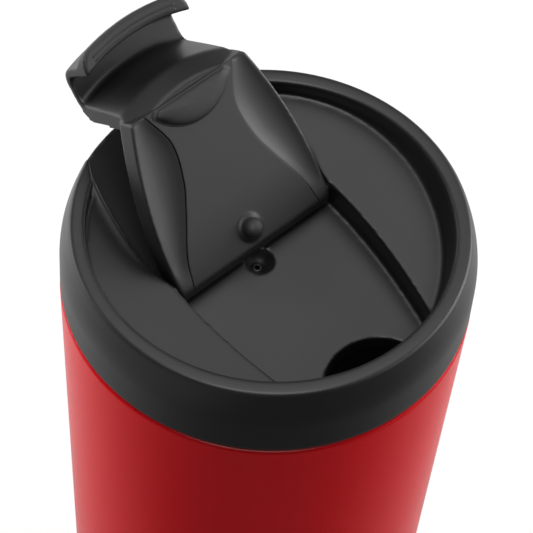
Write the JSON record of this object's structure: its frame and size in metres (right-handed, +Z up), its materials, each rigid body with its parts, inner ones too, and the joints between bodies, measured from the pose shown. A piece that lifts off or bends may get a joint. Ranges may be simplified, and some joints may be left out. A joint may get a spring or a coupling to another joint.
{
  "type": "insulated travel mug",
  "caption": "Tapered double-walled travel mug with a lift-off lid, a sloping drinking channel and a folding flap that hooks over the rim and plugs the drink hole and vent.",
  "frame": {"origin": "middle of the pad's face that the mug stands on", "axes": "+Z up along the mug's axis, -Y towards the drink hole, +X along the flap's hinge"},
  "size_m": [0.082, 0.0893, 0.1928],
  "materials": {
    "red_paint": "satin red lacquer",
    "bare_steel": "brushed",
    "charcoal_plastic": "fine satin",
    "black_silicone": "matte",
    "pad_rubber": "matte",
    "seal_glass": "fused",
    "getter_metal": "sintered"
  },
  "bodies": {
    "mug": {"outer_shell": "red_paint", "inner_liner": "bare_steel", "base_disc": "bare_steel", "seal_bead": "seal_glass", "getter": "getter_metal", "base_pad": "pad_rubber"},
    "lid": {"lid_body": "charcoal_plastic", "lid_base_plate": "charcoal_plastic", "lid_gasket": "black_silicone", "hinge_pin": "bare_steel"},
    "flap": {"flap_shell": "charcoal_plastic", "flap_panel": "charcoal_plastic", "spout_plug": "black_silicone", "vent_plug": "black_silicone"}
  },
  "joints": [
    {"name": "lid_lift", "type": "slide", "parent": "mug", "child": "lid", "axis": [0, 0, 1], "range_m": [0, 0.06]},
    {"name": "flap_hinge", "type": "hinge", "parent": "lid", "child": "flap", "pos_m": [0, 0.00555, 0.15862], "axis": [-1, 0, 0], "range_deg": [-135, 35]}
  ]
}
